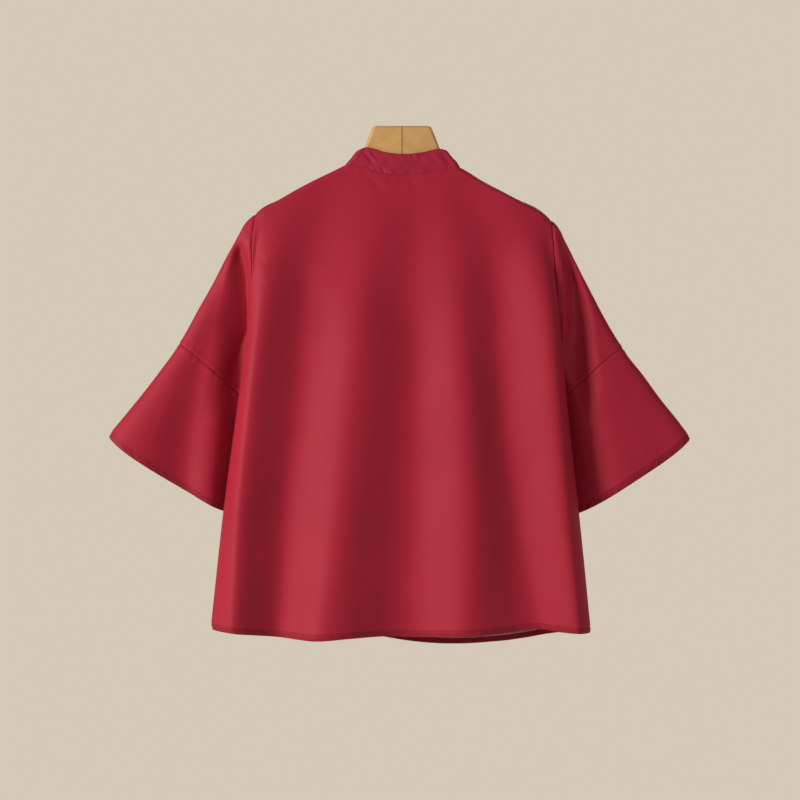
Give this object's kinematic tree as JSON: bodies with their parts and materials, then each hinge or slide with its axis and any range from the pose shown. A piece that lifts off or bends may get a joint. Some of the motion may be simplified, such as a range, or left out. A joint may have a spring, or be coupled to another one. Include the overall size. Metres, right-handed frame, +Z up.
{
  "type": "stand collar blouse on a wooden hanger",
  "caption": "Loose flared blouse with a stand collar and wide two-part sleeves, hung on a flat wooden hanger; neck, sleeve ends and hem are open.",
  "frame": {"origin": "top centre of the hanger's neck, where the hanger is held", "axes": "+Z up; +X to the right as the garment's back is looked at; -Y is the way its back faces, +Y its front"},
  "size_m": [0.787, 0.0853, 0.7007],
  "materials": {
    "satin": "deep red satin weave with a soft sheen",
    "collar_satin": "deep red satin, doubled and pressed",
    "hanger_wood": "clear satin varnish on honey coloured wood",
    "button": "cloth covered",
    "loop_thread": "plain thread"
  },
  "bodies": {
    "root": {"back_panel": "satin", "front_panel": "satin", "upper_sleeve_left": "satin", "upper_sleeve_right": "satin", "sleeve_flounce_left": "satin", "sleeve_flounce_right": "satin", "stand_collar": "collar_satin", "hanger_left": "hanger_wood", "hanger_right": "hanger_wood", "collar_button": "button", "button_loop": "loop_thread"}
  },
  "joints": []
}
